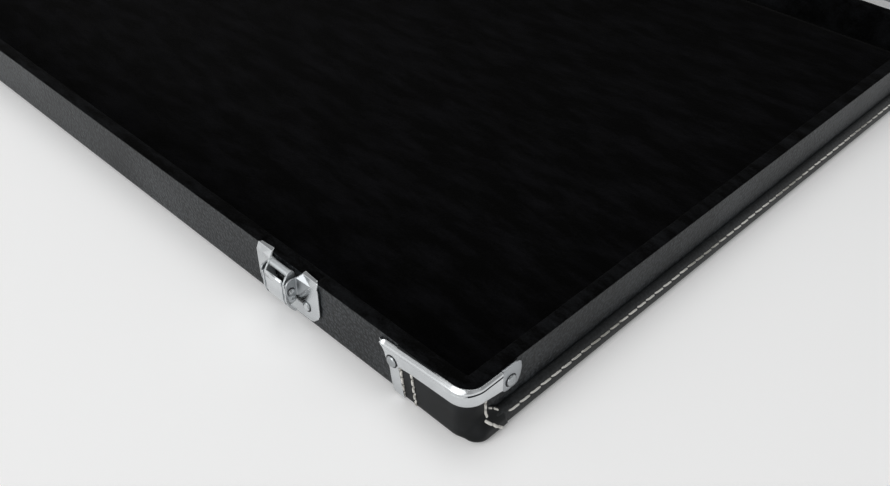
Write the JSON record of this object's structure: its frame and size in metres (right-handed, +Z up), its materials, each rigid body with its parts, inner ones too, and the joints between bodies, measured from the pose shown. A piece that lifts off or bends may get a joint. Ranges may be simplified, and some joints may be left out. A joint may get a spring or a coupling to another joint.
{
  "type": "guitar pedal case",
  "caption": "Shallow flight-style pedal case with a padded plush interior, a hinged lid held open, draw latches, riveted chrome corners and a folding handle.",
  "frame": {"origin": "middle of the tray's flat underside", "axes": "+X along the case to the right seen from the latches, +Y from the latches to the hinges, +Z up"},
  "size_m": [0.6106, 0.6058, 0.4926],
  "materials": {
    "vinyl": "grained",
    "black_vinyl": "grained",
    "plush": "matte",
    "foam": "matte",
    "plywood": "matte",
    "dark_leather": "satin",
    "chrome_plate": "polished",
    "thread": "twisted",
    "steel": "satin"
  },
  "bodies": {
    "tray": {"hinge_pins": "steel", "hinge_rivets_tray": "chrome_plate", "hinge_tray_leaf_left": "chrome_plate", "hinge_tray_leaf_middle": "chrome_plate", "hinge_tray_leaf_right": "chrome_plate", "latch_plate_left": "chrome_plate", "latch_plate_right": "chrome_plate", "latch_rivets": "chrome_plate", "lever_pins": "chrome_plate", "tray_base_covering": "vinyl", "tray_chrome_back_left": "chrome_plate", "tray_chrome_back_right": "chrome_plate", "tray_chrome_front_left": "chrome_plate", "tray_chrome_front_right": "chrome_plate", "tray_corner_rivets": "chrome_plate", "tray_leather_caps": "dark_leather", "tray_lining": "plush", "tray_pad": "foam", "tray_panel": "plywood", "tray_side_covering": "vinyl", "tray_strip_left": "black_vinyl", "tray_strip_right": "black_vinyl", "tray_wall_back": "plywood", "tray_wall_front": "plywood", "tray_wall_left": "plywood", "tray_wall_right": "plywood"},
    "lid": {"catch_left": "chrome_plate", "catch_right": "chrome_plate", "catch_rivets": "chrome_plate", "handle_bracket_left": "chrome_plate", "handle_bracket_right": "chrome_plate", "handle_bracket_rivets": "chrome_plate", "handle_pins": "steel", "hinge_lid_leaf_left": "chrome_plate", "hinge_lid_leaf_middle": "chrome_plate", "hinge_lid_leaf_right": "chrome_plate", "hinge_rivets_lid": "chrome_plate", "lid_base_covering": "vinyl", "lid_chrome_corners": "chrome_plate", "lid_corner_rivets": "chrome_plate", "lid_leather_caps": "dark_leather", "lid_lining": "plush", "lid_pad": "foam", "lid_panel": "plywood", "lid_side_covering": "vinyl", "lid_strips": "black_vinyl", "lid_wall_back": "plywood", "lid_wall_front": "plywood", "lid_wall_left": "plywood", "lid_wall_right": "plywood"},
    "handle": {"handle_core": "steel", "handle_grip": "dark_leather", "handle_loops": "chrome_plate"},
    "hasp_left": {"hasp_left": "chrome_plate"},
    "hasp_right": {"hasp_right": "chrome_plate"},
    "lever_left": {"lever_left": "chrome_plate", "hasp_pin_left": "steel"},
    "lever_right": {"lever_right": "chrome_plate", "hasp_pin_right": "steel"}
  },
  "joints": [
    {"name": "lid_hinge", "type": "hinge", "parent": "tray", "child": "lid", "pos_m": [0, 0.2285, 0.032], "axis": [1, 0, 0], "range_deg": [0, 100]},
    {"name": "handle_swing", "type": "hinge", "parent": "lid", "child": "handle", "pos_m": [0, 0.35247, 0.47998], "axis": [-1, 0, 0], "range_deg": [0, 175]},
    {"name": "lever_left_pivot", "type": "hinge", "parent": "tray", "child": "lever_left", "pos_m": [-0.183, -0.2315, 0.0227], "axis": [-1, 0, 0], "range_deg": [0, 100]},
    {"name": "hasp_left_pivot", "type": "hinge", "parent": "lever_left", "child": "hasp_left", "pos_m": [-0.183, -0.23, 0.0165], "axis": [-1, 0, 0], "range_deg": [-100, 0]},
    {"name": "lever_right_pivot", "type": "hinge", "parent": "tray", "child": "lever_right", "pos_m": [0.183, -0.2315, 0.0227], "axis": [-1, 0, 0], "range_deg": [0, 100]},
    {"name": "hasp_right_pivot", "type": "hinge", "parent": "lever_right", "child": "hasp_right", "pos_m": [0.183, -0.23, 0.0165], "axis": [-1, 0, 0], "range_deg": [-100, 0]}
  ],
  "couplings": [
    {"joint": "hasp_left_pivot", "follows": "lever_left_pivot", "ratio": -1},
    {"joint": "hasp_right_pivot", "follows": "lever_right_pivot", "ratio": -1}
  ]
}
